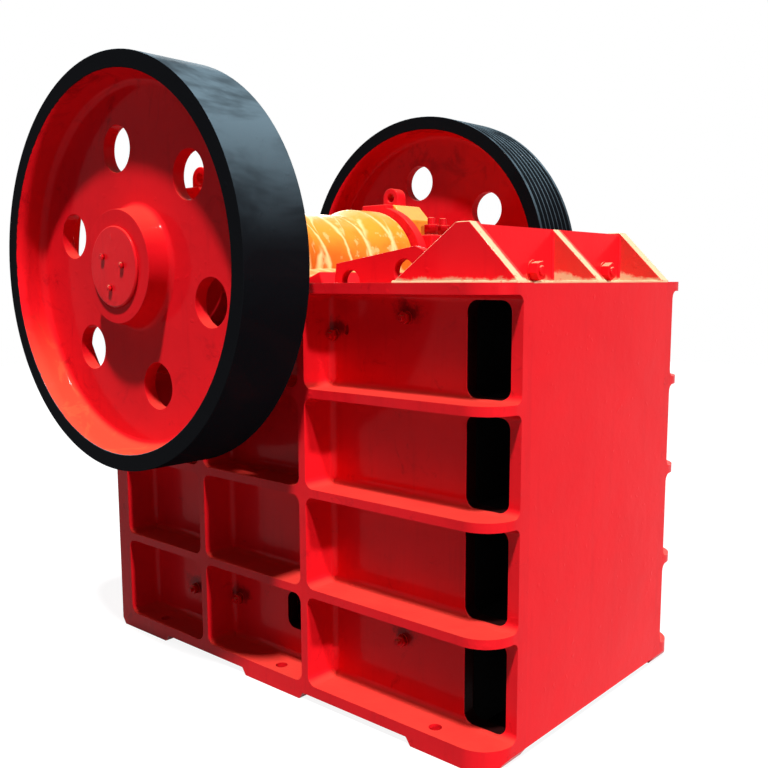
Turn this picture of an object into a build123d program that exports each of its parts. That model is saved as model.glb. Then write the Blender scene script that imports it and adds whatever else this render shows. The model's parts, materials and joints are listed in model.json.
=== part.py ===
from build123d import *
import os
from math import atan2, cos, degrees, radians, sin

# Single toggle jaw crusher, millimetres.
# +X points to the fixed jaw wall, +Z up, the plain flywheel is on the -Y side and the belt pulley on +Y.
# The origin is the centre of the anchor holes, on the plane that the foot pads rest on.

# Working clearances
seat_gap = 0.3
running_gap = 0.05
loose_gap = 1.0
moving_gap = 6.0
cut_over = 1.0

# Anchor holes and base rails
anchor_pitch = 765.0
anchor_edge = 55.0
anchor_hole_r = 23.0
pad_height = 28.0
pad_length = 350.0
pad_slope = 20.0
rail_thickness = 42.0

# Side walls
frame_height = 1530.0
front_reach = 1030.0
rear_reach = 1023.0
feed_width = 900.0
cheek_thickness = 33.0
side_plate_thickness = 55.0
shelf_depth = 145.0
shelf_thickness = 32.0
top_flange_thickness = 36.0
shelf_drop_1 = 390.0
shelf_drop_2 = 754.0
shelf_drop_3 = 1130.0
shelf_nose_radius = 120.0
root_fillet = 28.0
front_bay = 841.0
rear_bay = 615.0
upright_thickness = 34.0
end_upright_thickness = 80.0
upright_fillet = 36.0
upright_fillet_flat = 1.0

# Windows cut in the side walls
window_width = 170.0
window_inset = 42.0
window_margin = 18.0
window_sill = 4.0
window_radius = 38.0
hand_hole_width = 165.0
hand_hole_height = 150.0
hand_hole_setback = 163.0
hand_hole_rise = 120.0
core_slot_width = 20.0
core_slot_height = 38.0
core_slot_run = 92.0
core_slot_drop = 167.0

# Hollow front wall
front_plate_thickness = 40.0
box_depth = 168.0
inner_wall_thickness = 54.0
inner_wall_rise = 188.0
gusset_thickness = 56.0
gusset_toe = 20.0
gusset_toe_height = 5.0
gable_rise = 195.0
gable_rear_run = 266.0

# Crushing chamber
feed_gape = 600.0
discharge_gap = 100.0
chamber_height = 1330.0
jaw_base_thickness = 50.0
tooth_height = 40.0
tooth_count = 10
tooth_land = 0.36
jaw_plate_overrun = 70.0
jaw_side_gap = 10.0
cheek_rise_front = 126.0
cheek_rise_rear = 71.0
cheek_top_reach = 501.0
cheek_top_length = 378.0
cheek_bevel_run = 34.0
cheek_bevel_drop = 13.0
cheek_heel_run = 11.0
cheek_toe_drop = 60.0
cheek_foot_length = 210.0
cheek_hole_r = 44.0
cheek_hole_inset = 73.0
cheek_hole_rise = 2.0
cheek_hole_spread = 255.0
cheek_hole_climb = 35.0

# Shaft line
shaft_setback = 529.0
shaft_rise = 62.0
eccentricity = 19.0
main_journal_r = 95.0
eccentric_journal_r = 125.0
wheel_seat_r = 88.0

# Bearing housings
cap_top_half = 80.0
cap_side_half = 151.0
cap_top_rise = 311.0
cap_chamfer_rise = 238.0
cap_lug_half = 316.0
cap_lug_rise = 160.0
seat_foot_half = 480.0
seat_boss_r = 230.0
seal_ring_r = 304.0
lug_width = 96.0
lug_thickness = 64.0
lug_height = 88.0
lug_hole_r = 20.0

# Wheels
wheel_r = 765.0
rim_thickness = 62.0
wheel_width = 290.0
wheel_gap = 66.0
web_thickness = 50.0
web_draft = 14.0
web_fillet = 26.0
rim_fillet = 34.0
hub_r = 211.0
hub_recess = 28.0
hub_back_recess = 25.0
wheel_hole_r = 89.0
wheel_hole_circle = 460.0
wheel_hole_count = 6
flywheel_hole_phase = 43.7
pulley_hole_phase = 39.5
groove_count = 7
groove_pitch = 37.0
groove_depth = 26.0
groove_top = 30.0
groove_bottom = 16.0
end_plate_r = 150.0
end_plate_thickness = 12.0

# Moving jaw
barrel_waist_r = 248.0
barrel_end_r = 280.0
barrel_end_length = 170.0
barrel_cone_length = 70.0
barrel_half = 425.0
barrel_blend = 60.0
jaw_back_plate = 64.0
jaw_shoulder_rise = 60.0
jaw_wedge_depth = 76.0
jaw_wedge_height = 52.0
pitman_rib_thickness = 46.0
pitman_rib_count = 4
pitman_head_drop = 130.0
pitman_head_bite = 124.0
pitman_head_rise = 45.0
pitman_rib_run = 124.0
pitman_rib_drop = 198.0
pitman_foot_depth = 210.0
pitman_beam_up = 110.0
pitman_beam_down = 90.0

# Toggle and adjustment
toggle_thickness = 52.0
toggle_width = 700.0
toggle_front_down = 1165.0
toggle_front_depth = 330.0
toggle_rear_z = 640.0
toggle_seat_depth = 60.0
toggle_seat_height = 130.0
toggle_seat_lip = 12.0
block_depth = 130.0
block_height = 260.0
ledge_width = 40.0
ledge_height = 30.0
shim_thickness = 13.0
shim_count = 3
beam_depth = 96.4
beam_height = 380.0
rear_wall_thickness = 45.0
rear_wall_top = 1060.0

# Tension rod
rod_r = 22.0
rod_pin_r = 18.0
rod_pin_depth = 358.0
rod_pin_down = 1370.0
rod_eye_wall = 22.0
rod_eye_width = 50.0
rod_lug_thickness = 40.0
rod_lug_margin = 40.0
spring_r = 62.0
spring_wire = 18.0
spring_length = 150.0
spring_washer = 14.0
rod_tail = 60.0

# Heights and planes that the pieces share
rail_bottom = pad_height
rail_top = rail_bottom + rail_thickness
frame_top = rail_bottom + frame_height
side_inner = feed_width / 2 + cheek_thickness
side_outer = side_inner + side_plate_thickness
shelf_outer = side_outer + shelf_depth
shelf_levels = [frame_top - drop for drop in (shelf_drop_1, shelf_drop_2, shelf_drop_3)]
shaft_z = frame_top + shaft_rise
box_rear_x = front_reach - front_plate_thickness - box_depth
fixed_back_x = box_rear_x - inner_wall_thickness
fixed_face_x = fixed_back_x - jaw_base_thickness - tooth_height
moving_top_x = fixed_face_x - feed_gape
nip_angle = degrees(atan2(feed_gape - discharge_gap, chamber_height))
front_upright_x = front_reach - front_bay
rear_upright_x = -rear_reach + rear_bay
hand_hole_x = front_upright_x - hand_hole_setback
cheek_top_x = fixed_face_x - cheek_top_reach
cheek_hole_x = cheek_top_x + cheek_hole_inset
shaft_x = moving_top_x - shaft_setback
wheel_inner = shelf_outer + wheel_gap
wheel_outer = wheel_inner + wheel_width
bore_x = shaft_x - eccentricity
rear_wall_front_x = -rear_reach + rear_wall_thickness
beam_front_x = rear_wall_front_x + beam_depth
shim_front_x = beam_front_x + shim_count * shim_thickness + (shim_count - 1) * seat_gap
block_front_x = shim_front_x + block_depth
toggle_rear_x = block_front_x + toggle_seat_depth + toggle_seat_lip
rod_eye_inner = rod_pin_r + eccentricity + moving_gap


def block(x0, x1, y0, y1, z0, z1):
    """A box between six planes."""
    return Pos((x0 + x1) / 2, (y0 + y1) / 2, (z0 + z1) / 2) * Box(x1 - x0, y1 - y0, z1 - z0)


def side_profile(points, y0, y1):
    """A closed outline in the XZ plane, carried from y0 to y1."""
    return Pos(0, y0, 0) * extrude(Plane.XZ * Polygon(*points, align=None), amount=y1 - y0, dir=(0, 1, 0))


def cross_bar(x, z, radius, y0, y1):
    """A cylinder along Y."""
    return Pos(x, (y0 + y1) / 2, z) * Rot(90, 0, 0) * Cylinder(radius, y1 - y0)


def long_bar(x0, x1, y, z, radius):
    """A cylinder along X."""
    return Pos((x0 + x1) / 2, y, z) * Rot(0, 90, 0) * Cylinder(radius, x1 - x0)


def rounded_window(x0, x1, z0, z1, radius, y0, y1):
    """A cutter with rounded corners through a side wall."""
    outline = Pos((x0 + x1) / 2, (z0 + z1) / 2) * RectangleRounded(x1 - x0, z1 - z0, radius)
    return Pos(0, y0, 0) * extrude(Plane.XZ * outline, amount=y1 - y0, dir=(0, 1, 0))


def turned(points, x, z, rounds=()):
    """A solid of revolution about a Y axis through x, z, from radius and Y pairs.

    rounds holds pairs of a corner, as its number in points, and its radius.
    """
    outline = Polygon(*points, align=None)
    for number, radius in rounds:
        corner = outline.vertices().sort_by_distance((points[number][0], points[number][1], 0))[0]
        outline = fillet(corner, radius)
    return Pos(x, 0, z) * revolve(outline, Axis.Y)


def row_spans():
    """Lowest and highest Z of each row of pockets, from the bottom up."""
    floors = [rail_top] + [level + shelf_thickness / 2 for level in reversed(shelf_levels)]
    roofs = [level - shelf_thickness / 2 for level in reversed(shelf_levels)]
    return list(zip(floors, roofs + [frame_top - top_flange_thickness]))


def jaw_point(depth, down):
    """X and Z of a point behind the moving jaw face and down along it."""
    angle = radians(nip_angle)
    x = moving_top_x - depth * cos(angle) + down * sin(angle)
    z = frame_top - depth * sin(angle) - down * cos(angle)
    return (x, z)


def save(node, shape):
    export_step(shape, "parts/" + node + ".step")


def save_pair(name, near):
    """The near piece is modelled, and the far one is its mirror image."""
    save(name + "_near", near)
    save(name + "_far", mirror(near, about=Plane.XZ))


# Side walls

def side_windows(outer, inner):
    """Cutters for the windows, the hand hole and the cored slot of one side wall."""
    cutters = []
    right = front_reach - window_inset
    for floor, roof in row_spans():
        cutters.append(rounded_window(right - window_width, right, floor + window_sill,
                                      roof - window_margin, window_radius, outer, inner))
    low = rail_top + hand_hole_rise
    cutters.append(rounded_window(hand_hole_x - hand_hole_width / 2, hand_hole_x + hand_hole_width / 2,
                                  low, low + hand_hole_height, window_radius, outer, inner))
    slot_x = front_upright_x + core_slot_run
    slot_z = frame_top - core_slot_drop
    cutters.append(rounded_window(slot_x - core_slot_width / 2, slot_x + core_slot_width / 2,
                                  slot_z - core_slot_height / 2, slot_z + core_slot_height / 2,
                                  (core_slot_width - seat_gap) / 2, outer, inner))
    return cutters


def side_plate():
    plate = block(-rear_reach, front_reach, -side_outer, -side_inner, rail_top, frame_top)
    for cutter in side_windows(-side_outer - cut_over, -side_inner + cut_over):
        plate -= cutter
    return plate - cross_bar(shaft_x, shaft_z, seat_boss_r + seat_gap, -side_outer - cut_over,
                             -side_inner + cut_over)


def root_strip(z, side):
    """Cast fillet along the side plate, above a shelf at z for side 1 or below it for side -1."""
    r = root_fillet
    low, high = sorted((z, z + side * r))
    strip = block(-rear_reach, front_reach, -side_outer - r, -side_outer, low, high)
    return strip - long_bar(-rear_reach - cut_over, front_reach + cut_over, -side_outer - r,
                            z + side * r, r)


def shelf_slab(z0, z1):
    """What a horizontal rib fills outside the side plate, with its round front corner."""
    plan = Pos((front_reach - rear_reach) / 2, -side_outer - shelf_depth / 2)
    plan = plan * Rectangle(front_reach + rear_reach, shelf_depth)
    nose = plan.vertices().sort_by(Axis.X)[-2:].sort_by(Axis.Y)[0]
    plan = fillet(nose, shelf_nose_radius)
    return Pos(0, 0, z0) * extrude(plan, amount=z1 - z0)


def shelf(z0, z1, sides):
    """One horizontal rib with the cast fillets on the given sides."""
    rib = shelf_slab(z0, z1)
    for side in sides:
        rib += root_strip(z1 if side > 0 else z0, side)
    for cutter in side_windows(-side_outer - root_fillet - cut_over, -side_outer + cut_over):
        rib -= cutter
    return rib


def boss_cutter():
    """Room for the round boss of the bearing seat in what stands outside the side plate."""
    return cross_bar(shaft_x, shaft_z, seat_boss_r + seat_gap, -shelf_outer - cut_over,
                     -side_outer + cut_over)


def top_flange():
    flange = shelf(frame_top - top_flange_thickness, frame_top, (-1,))
    return flange - boss_cutter()


def shelves():
    return Compound([shelf(level - shelf_thickness / 2, level + shelf_thickness / 2, (-1, 1))
                     for level in shelf_levels])


def upright(x, thickness, floor, roof):
    """A vertical rib that flares into the shelves above and below it and into the side plate."""
    flare = upright_fillet
    half = thickness / 2 + flare
    outline = Pos(x, (floor + roof) / 2) * Rectangle(2 * half, roof - floor)
    for side in (-1, 1):
        slot = Pos(x + side * half, (floor + roof) / 2)
        outline -= slot * RectangleRounded(2 * flare, roof - floor, flare - upright_fillet_flat / 2)
    rib = Pos(0, -side_outer, 0) * extrude(Plane.XZ * outline, amount=shelf_depth, dir=(0, -1, 0))
    for side in (-1, 1):
        near, far = x + side * thickness / 2, x + side * (thickness / 2 + root_fillet)
        root = block(min(near, far), max(near, far), -side_outer - root_fillet, -side_outer, floor, roof)
        rib += root - Pos(far, -side_outer - root_fillet, (floor + roof) / 2) * Cylinder(root_fillet, roof)
    return rib & block(-rear_reach, front_reach, -shelf_outer, -side_outer, floor, roof)


def uprights():
    rear_x = -rear_reach + end_upright_thickness / 2
    pieces = []
    for floor, roof in row_spans():
        for x, thickness in ((rear_x, end_upright_thickness), (rear_upright_x, upright_thickness),
                             (front_upright_x, upright_thickness)):
            rib = upright(x, thickness, floor, roof) - root_strip(floor, 1) - root_strip(roof, -1)
            pieces.append((rib - boss_cutter()).solids().sort_by(SortBy.VOLUME)[-1])
    return Compound(pieces)


def base_rail():
    """Bottom flange with three foot pads that follow its outline."""
    rail = shelf(rail_bottom, rail_top, (1,))
    rail += block(-rear_reach, front_reach, -side_outer, -side_inner, rail_bottom, rail_top)
    sole = shelf_slab(0, rail_bottom)
    sole += block(-rear_reach, front_reach, -side_outer, -side_inner, 0, rail_bottom)
    pad_xs = (-rear_reach + pad_length / 2, 0, front_reach - pad_length / 2)
    for x in pad_xs:
        half = pad_length / 2
        foot = [(x - half + pad_slope, 0), (x + half - pad_slope, 0), (x + half, rail_bottom),
                (x - half, rail_bottom)]
        rail += sole & side_profile(foot, -shelf_outer, -side_inner)
    for x in (-anchor_pitch, 0, anchor_pitch):
        rail -= Pos(x, -shelf_outer + anchor_edge, rail_top / 2) * Cylinder(anchor_hole_r, rail_top * 2)
    return rail


# Hollow front wall

def front_plate():
    return block(front_reach - front_plate_thickness, front_reach, -side_inner, side_inner,
                 rail_bottom, frame_top)


def front_top_plate():
    return block(box_rear_x, front_reach - front_plate_thickness, -side_inner, side_inner,
                 frame_top - top_flange_thickness, frame_top)


def inner_front_wall():
    return block(fixed_back_x, box_rear_x, -side_inner, side_inner, rail_bottom,
                 frame_top + inner_wall_rise)


def front_box_shelves():
    return Compound([block(box_rear_x, front_reach - front_plate_thickness, -side_inner, side_inner,
                           level - shelf_thickness / 2, level + shelf_thickness / 2)
                     for level in shelf_levels])


def gusset_outline(wall_x, rise):
    toe_x = front_reach - gusset_toe
    return [(wall_x, frame_top), (toe_x, frame_top), (toe_x, frame_top + gusset_toe_height),
            (wall_x, frame_top + rise)]


def middle_gusset():
    return side_profile(gusset_outline(box_rear_x, inner_wall_rise),
                        -gusset_thickness / 2, gusset_thickness / 2)


def gable():
    """Triangular end plate that closes the raised wall at one side."""
    toe_x = front_reach - gusset_toe
    heel_x = fixed_back_x - gable_rear_run
    outline = [(heel_x, frame_top), (toe_x, frame_top), (toe_x, frame_top + gusset_toe_height),
               (box_rear_x, frame_top + gable_rise), (fixed_back_x, frame_top + gable_rise),
               (heel_x, frame_top + gusset_toe_height)]
    return side_profile(outline, -side_outer, -side_outer + side_plate_thickness)


# Crushing chamber

def jaw_section(face_x):
    """Plan of a corrugated jaw plate with its tooth tips on face_x, backing towards -X."""
    half = feed_width / 2 - jaw_side_gap
    pitch = 2 * half / tooth_count
    land = pitch * tooth_land
    root_x = face_x - tooth_height
    points = [(root_x - jaw_base_thickness, -half)]
    for i in range(tooth_count):
        start = -half + i * pitch
        slope = (pitch - 2 * land) / 2
        points += [(root_x, start + land / 2 if i else start), (face_x, start + land / 2 + slope),
                   (face_x, start + 1.5 * land + slope), (root_x, start + 1.5 * land + 2 * slope)]
    points += [(root_x, half), (root_x - jaw_base_thickness, half)]
    return Polygon(*points, align=None)


def fixed_jaw_plate():
    low = frame_top - chamber_height - jaw_plate_overrun
    high = frame_top + jaw_plate_overrun
    plate = Pos(0, 0, low) * extrude(jaw_section(0), amount=high - low)
    return Pos(fixed_face_x, 0, 0) * Rot(0, 0, 180) * plate


def jaw_frame():
    """Place of the moving jaw face, with local +Z up along it."""
    return Pos(moving_top_x, 0, frame_top) * Rot(0, -nip_angle, 0)


def moving_jaw_length():
    return chamber_height / cos(radians(nip_angle))


def moving_jaw_plate():
    plate = extrude(jaw_section(0), amount=moving_jaw_length())
    return jaw_frame() * Pos(0, 0, -moving_jaw_length()) * plate


def cheek_plate():
    """Side liner of the chamber; its top stands above the frame and has two lifting holes."""
    top_front = cheek_top_x + cheek_top_length
    low = frame_top - chamber_height - jaw_plate_overrun
    front_x = fixed_face_x - moving_gap
    outline = [(cheek_top_x, frame_top + cheek_rise_rear), (top_front, frame_top + cheek_rise_front),
               (top_front + cheek_bevel_run, frame_top + cheek_rise_front - cheek_bevel_drop),
               (front_x, frame_top - cheek_toe_drop), (front_x, low), (front_x - cheek_foot_length, low),
               (cheek_top_x - cheek_heel_run, frame_top)]
    plate = side_profile(outline, -side_inner, -feed_width / 2)
    for k in range(2):
        x = cheek_hole_x + k * cheek_hole_spread
        z = frame_top + cheek_hole_rise + k * cheek_hole_climb
        plate -= cross_bar(x, z, cheek_hole_r, -side_inner - cut_over, -feed_width / 2 + cut_over)
    return plate


# Shaft, wheels and bearings

def eccentric_shaft():
    core_end = wheel_inner + hub_back_recess
    shaft = cross_bar(shaft_x, shaft_z, main_journal_r, -core_end, core_end)
    shaft += cross_bar(bore_x, shaft_z, eccentric_journal_r, -barrel_half, barrel_half)
    tip = wheel_outer - hub_recess
    return shaft + cross_bar(shaft_x, shaft_z, wheel_seat_r, -tip, tip)


def wheel_body(rim_outline):
    """Rim outline points, from the inner edge to the outer edge at full radius, plus web and hub."""
    bore = wheel_seat_r + seat_gap
    rim_inner = wheel_r - rim_thickness
    centre = (wheel_inner + wheel_outer) / 2
    web_low = centre - web_thickness / 2
    web_high = centre + web_thickness / 2
    points = [(bore, wheel_inner + hub_back_recess), (hub_r, wheel_inner + hub_back_recess),
              (hub_r + web_draft, web_low), (rim_inner - web_draft, web_low), (rim_inner, wheel_inner)]
    points += rim_outline
    points += [(rim_inner, wheel_outer), (rim_inner - web_draft, web_high), (hub_r + web_draft, web_high),
               (hub_r, wheel_outer - hub_recess), (bore, wheel_outer - hub_recess)]
    rounds = [(2, web_fillet), (3, rim_fillet), (-4, rim_fillet), (-3, web_fillet)]
    return turned(points, shaft_x, shaft_z, rounds)


def cut_wheel_holes(wheel, phase, y0, y1):
    for k in range(wheel_hole_count):
        angle = radians(phase + 360 * k / wheel_hole_count)
        x = shaft_x + wheel_hole_circle * cos(angle)
        z = shaft_z + wheel_hole_circle * sin(angle)
        wheel -= cross_bar(x, z, wheel_hole_r, y0, y1)
    return wheel


def flywheel():
    wheel = wheel_body([(wheel_r, wheel_inner), (wheel_r, wheel_outer)])
    wheel = mirror(wheel, about=Plane.XZ)
    return cut_wheel_holes(wheel, flywheel_hole_phase, -wheel_outer, -wheel_inner)


def belt_pulley():
    centre = (wheel_inner + wheel_outer) / 2
    outline = [(wheel_r, wheel_inner)]
    for k in range(groove_count):
        y = centre + (k - (groove_count - 1) / 2) * groove_pitch
        outline += [(wheel_r, y - groove_top / 2), (wheel_r - groove_depth, y - groove_bottom / 2),
                    (wheel_r - groove_depth, y + groove_bottom / 2), (wheel_r, y + groove_top / 2)]
    outline += [(wheel_r, wheel_outer)]
    return cut_wheel_holes(wheel_body(outline), pulley_hole_phase, wheel_inner, wheel_outer)


def shaft_end_plate():
    face = wheel_outer - hub_recess
    return cross_bar(shaft_x, shaft_z, end_plate_r, -face - end_plate_thickness, -face)


def bearing_seat():
    """Lower half of the housing: a foot on the top flange and a boss let into the side wall."""
    outer = -shelf_outer - cut_over
    inner = -side_inner + cut_over
    outline = [(shaft_x - seat_foot_half, frame_top), (shaft_x + seat_foot_half, frame_top),
               (shaft_x + cap_lug_half, shaft_z), (shaft_x - cap_lug_half, shaft_z)]
    seat = side_profile(outline, -shelf_outer, -side_inner)
    seat += cross_bar(shaft_x, shaft_z, seat_boss_r, -shelf_outer, -side_inner)
    seat -= block(shaft_x - cap_lug_half, shaft_x + cap_lug_half, outer, inner, shaft_z,
                  shaft_z + seat_boss_r + cut_over)
    return seat - cross_bar(shaft_x, shaft_z, main_journal_r + running_gap, outer, inner)


def bearing_cap():
    """Upper half: bolting lugs, a chamfered crown and the lifting eye."""
    crown = [(shaft_x - cap_lug_half, shaft_z), (shaft_x + cap_lug_half, shaft_z),
             (shaft_x + cap_lug_half, shaft_z + cap_lug_rise),
             (shaft_x + cap_side_half, shaft_z + cap_lug_rise),
             (shaft_x + cap_side_half, shaft_z + cap_chamfer_rise),
             (shaft_x + cap_top_half, shaft_z + cap_top_rise),
             (shaft_x - cap_top_half, shaft_z + cap_top_rise),
             (shaft_x - cap_side_half, shaft_z + cap_chamfer_rise),
             (shaft_x - cap_side_half, shaft_z + cap_lug_rise),
             (shaft_x - cap_lug_half, shaft_z + cap_lug_rise)]
    cap = side_profile(crown, -shelf_outer, -side_inner)
    eye_y = -(shelf_outer + side_inner) / 2
    eye_z = shaft_z + cap_top_rise + lug_height - lug_width / 2
    cap += block(shaft_x - lug_width / 2, shaft_x + lug_width / 2, eye_y - lug_thickness / 2,
                 eye_y + lug_thickness / 2, shaft_z + cap_top_rise, eye_z)
    cap += cross_bar(shaft_x, eye_z, lug_width / 2, eye_y - lug_thickness / 2, eye_y + lug_thickness / 2)
    cap -= cross_bar(shaft_x, eye_z, lug_hole_r, eye_y - lug_thickness, eye_y + lug_thickness)
    return cap - cross_bar(shaft_x, shaft_z, main_journal_r + running_gap, -shelf_outer - cut_over,
                           -side_inner + cut_over)


def seal_ring():
    """Flat ring that closes the housing towards the moving jaw."""
    face = barrel_half + moving_gap
    ring = cross_bar(shaft_x, shaft_z, seal_ring_r, -side_inner, -face)
    ring += block(shaft_x - cap_top_half, shaft_x + cap_top_half, -side_inner, -face, shaft_z,
                  shaft_z + cap_top_rise)
    return ring - cross_bar(shaft_x, shaft_z, main_journal_r + loose_gap, -side_inner - cut_over,
                            -face + cut_over)


# Moving jaw

def pitman():
    """Moving jaw casting: barrel, head, front plate, ribs and lower beam."""
    half = barrel_half
    waist_start = half - barrel_end_length
    waist = waist_start - barrel_cone_length
    outline = [(0, -half), (barrel_end_r, -half), (barrel_end_r, -waist_start), (barrel_waist_r, -waist),
               (barrel_waist_r, waist), (barrel_end_r, waist_start), (barrel_end_r, half), (0, half)]
    body = turned(outline, bore_x, shaft_z, [(k, barrel_blend) for k in (2, 3, 4, 5)])
    back = jaw_base_thickness + tooth_height
    length = moving_jaw_length()
    front_half = feed_width / 2 - jaw_side_gap
    body += jaw_frame() * block(-back - jaw_back_plate, -back, -front_half, front_half,
                                -length, jaw_shoulder_rise)
    head = [(bore_x, shaft_z + pitman_head_rise), jaw_point(back, -jaw_shoulder_rise),
            jaw_point(back, pitman_head_drop), (bore_x + pitman_head_bite, shaft_z - pitman_head_bite)]
    body += side_profile(head, -half, half)
    beam = [jaw_point(back, toggle_front_down - pitman_beam_up), jaw_point(back, length),
            jaw_point(pitman_foot_depth, length),
            jaw_point(toggle_front_depth, toggle_front_down + pitman_beam_down),
            jaw_point(toggle_front_depth, toggle_front_down - pitman_beam_up)]
    body += side_profile(beam, -half, half)
    rib = [jaw_point(back, 0), jaw_point(back, toggle_front_down),
           jaw_point(toggle_front_depth, toggle_front_down - pitman_beam_up),
           (bore_x - pitman_rib_run, shaft_z - pitman_rib_drop), (bore_x, shaft_z)]
    span = 2 * half - pitman_rib_thickness
    for k in range(pitman_rib_count):
        y = -span / 2 + k * span / (pitman_rib_count - 1)
        body += side_profile(rib, y - pitman_rib_thickness / 2, y + pitman_rib_thickness / 2)
    return body - cross_bar(bore_x, shaft_z, eccentric_journal_r + running_gap, -half - cut_over,
                            half + cut_over)


def rod_lugs():
    """Two ears under the lower beam, one at each side of the tension rod's eye."""
    m = rod_lug_margin
    x, z = jaw_point(rod_pin_depth, rod_pin_down)
    heel = jaw_point(toggle_front_depth, toggle_front_down + pitman_beam_down)
    foot = jaw_point(pitman_foot_depth, moving_jaw_length())
    middle = ((heel[0] + foot[0]) / 2, (heel[1] + foot[1]) / 2)
    near = rod_eye_width / 2 + moving_gap
    far = near + rod_lug_thickness
    ear = side_profile([heel, middle, (x + m, z), (x - m, z)], near, far)
    ear += cross_bar(x, z, m, near, far)
    ear -= cross_bar(x, z, rod_pin_r + seat_gap, near - cut_over, far + cut_over)
    return Compound([ear, mirror(ear, about=Plane.XZ)])


def rod_pin():
    x, z = jaw_point(rod_pin_depth, rod_pin_down)
    reach = rod_eye_width / 2 + moving_gap + rod_lug_thickness
    return cross_bar(x, z, rod_pin_r, -reach, reach)


def jaw_wedge():
    """Bar that clamps the top of the moving jaw plate against the shoulder of the casting."""
    back = jaw_base_thickness + tooth_height
    half = feed_width / 2 - jaw_side_gap
    return jaw_frame() * block(-back, -back + jaw_wedge_depth, -half, half, 0, jaw_wedge_height)


def slanted_box(start, end, thickness, y0, y1):
    """A plate on edge along the line between two XZ points."""
    length = ((end[0] - start[0]) ** 2 + (end[1] - start[1]) ** 2) ** 0.5
    angle = degrees(atan2(end[1] - start[1], end[0] - start[0]))
    plate = block(0, length, y0, y1, -thickness / 2, thickness / 2)
    return Pos(start[0], 0, start[1]) * Rot(0, -angle, 0) * plate


def pitman_toggle_seat():
    """Hard bar on the back of the moving jaw's lower beam."""
    depth = toggle_front_depth + toggle_seat_depth / 2
    high = jaw_point(depth, toggle_front_down - toggle_seat_height / 2)
    low = jaw_point(depth, toggle_front_down + toggle_seat_height / 2)
    return slanted_box(low, high, toggle_seat_depth, -toggle_width / 2, toggle_width / 2)


# Toggle, adjustment and rear wall

def toggle_front():
    """Centre of the toggle's front end, clear of the moving jaw's seat over the whole stroke.

    The jaw rests at the back of its circle, so its slanted seat comes nearer only by a little.
    """
    nearer = eccentricity * (1 - cos(radians(nip_angle)))
    clear = toggle_thickness / 2 + nearer + moving_gap
    return jaw_point(toggle_front_depth + toggle_seat_depth + clear, toggle_front_down)


def toggle_plate():
    """Flat plate with rounded ends, standing on its rear seat."""
    front = toggle_front()
    rear = (toggle_rear_x, toggle_rear_z)
    half = toggle_width / 2
    plate = slanted_box(rear, front, toggle_thickness, -half, half)
    for x, z in (front, rear):
        plate += cross_bar(x, z, toggle_thickness / 2, -half, half)
    return plate


def rear_toggle_seat():
    half = toggle_width / 2
    bar = block(toggle_rear_x - toggle_seat_lip - toggle_seat_depth, toggle_rear_x - toggle_seat_lip,
                -half, half, toggle_rear_z - toggle_seat_height / 2, toggle_rear_z + toggle_seat_height / 2)
    return bar - cross_bar(toggle_rear_x, toggle_rear_z, toggle_thickness / 2 + seat_gap,
                           -half - cut_over, half + cut_over)


def adjusting_block():
    half = side_inner - seat_gap
    return block(block_front_x - block_depth, block_front_x, -half, half,
                 toggle_rear_z - block_height / 2, toggle_rear_z + block_height / 2)


def block_ledges():
    """A ledge on each side plate carries the adjusting block."""
    top = toggle_rear_z - block_height / 2
    near = block(block_front_x - block_depth, block_front_x, -side_inner, -side_inner + ledge_width,
                 top - ledge_height, top)
    return Compound([near, mirror(near, about=Plane.XZ)])


def shims():
    half = side_inner - seat_gap
    low = toggle_rear_z - block_height / 2
    high = toggle_rear_z + block_height / 2
    pack = []
    for k in range(shim_count):
        x = shim_front_x - k * (shim_thickness + seat_gap)
        pack.append(block(x - shim_thickness, x, -half, half, low, high))
    return Compound(pack)


def rear_beam():
    return block(rear_wall_front_x, beam_front_x, -side_inner, side_inner,
                 toggle_rear_z - beam_height / 2, toggle_rear_z + beam_height / 2)


def rear_wall():
    wall = block(-rear_reach, rear_wall_front_x, -side_inner, side_inner, rail_bottom, rear_wall_top)
    return wall - long_bar(-rear_reach - cut_over, rear_wall_front_x + cut_over, 0, rod_line_z(),
                           rod_r + loose_gap)


# Tension rod and spring

def rod_line_z():
    """The rod lies level with its pin."""
    return jaw_point(rod_pin_depth, rod_pin_down)[1]


def tension_rod():
    """Rod with an open eye round the pin, clear of it over the whole stroke."""
    eye_x = jaw_point(rod_pin_depth, rod_pin_down)[0] + eccentricity
    z = rod_line_z()
    half = rod_eye_width / 2
    tail = -rear_reach - 2 * spring_washer - spring_length - rod_tail
    rod = long_bar(tail, eye_x - rod_eye_inner - rod_eye_wall / 2, 0, z, rod_r)
    rod += cross_bar(eye_x, z, rod_eye_inner + rod_eye_wall, -half, half)
    return rod - cross_bar(eye_x, z, rod_eye_inner, -half - cut_over, half + cut_over)


def spring_washers():
    z = rod_line_z()
    outer = spring_r + spring_wire / 2
    bore = rod_r + seat_gap
    first = -rear_reach
    second = first - spring_washer - spring_length
    washers = []
    for x in (first, second):
        disc = long_bar(x - spring_washer, x, 0, z, outer)
        washers.append(disc - long_bar(x - spring_washer - cut_over, x + cut_over, 0, z, bore))
    return Compound(washers)


def rod_spring():
    """The coil spring's envelope: a tube as thick as its wire."""
    z = rod_line_z()
    start = -rear_reach - spring_washer
    tube = long_bar(start - spring_length, start, 0, z, spring_r + spring_wire / 2)
    core = long_bar(start - spring_length - cut_over, start + cut_over, 0, z, spring_r - spring_wire / 2)
    return tube - core


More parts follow.
